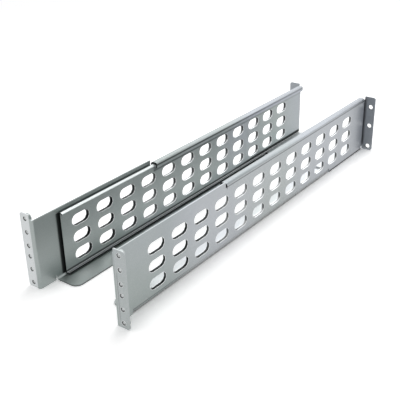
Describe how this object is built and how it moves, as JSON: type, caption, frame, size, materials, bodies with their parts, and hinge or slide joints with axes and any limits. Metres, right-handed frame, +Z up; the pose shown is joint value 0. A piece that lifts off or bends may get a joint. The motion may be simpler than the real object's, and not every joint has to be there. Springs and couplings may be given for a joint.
{
  "type": "rack mounting rail pair",
  "caption": "Pair of telescoping plated-steel rack rails with slotted webs, inward ledges and drilled ears; each rear half slides in its front half to suit the rack's depth.",
  "frame": {"origin": "middle of the pair, on the plane of the ledges' undersides", "axes": "+X towards the right rail, +Y from the front ears to the rear ears, +Z up"},
  "size_m": [0.1434, 0.5414, 0.0881],
  "materials": {
    "plated_sheet": "satin zinc plate on 1.5 mm sheet steel",
    "plated_nut": "zinc-plated clinch nut"
  },
  "bodies": {
    "left_front": {"left_front_rail": "plated_sheet", "left_ear_nuts": "plated_nut"},
    "left_rear": {"left_rear_rail": "plated_sheet"},
    "right_front": {"right_front_rail": "plated_sheet", "right_ear_nuts": "plated_nut"},
    "right_rear": {"right_rear_rail": "plated_sheet"}
  },
  "joints": [
    {"name": "left_extension", "type": "slide", "parent": "left_front", "child": "left_rear", "axis": [0, 1, 0], "range_m": [0, 0.2667]},
    {"name": "right_rail_spacing", "type": "slide", "parent": "left_front", "child": "right_front", "axis": [1, 0, 0], "range_m": [0, 0.3367]},
    {"name": "right_extension", "type": "slide", "parent": "right_front", "child": "right_rear", "axis": [0, 1, 0], "range_m": [0, 0.2667]}
  ]
}
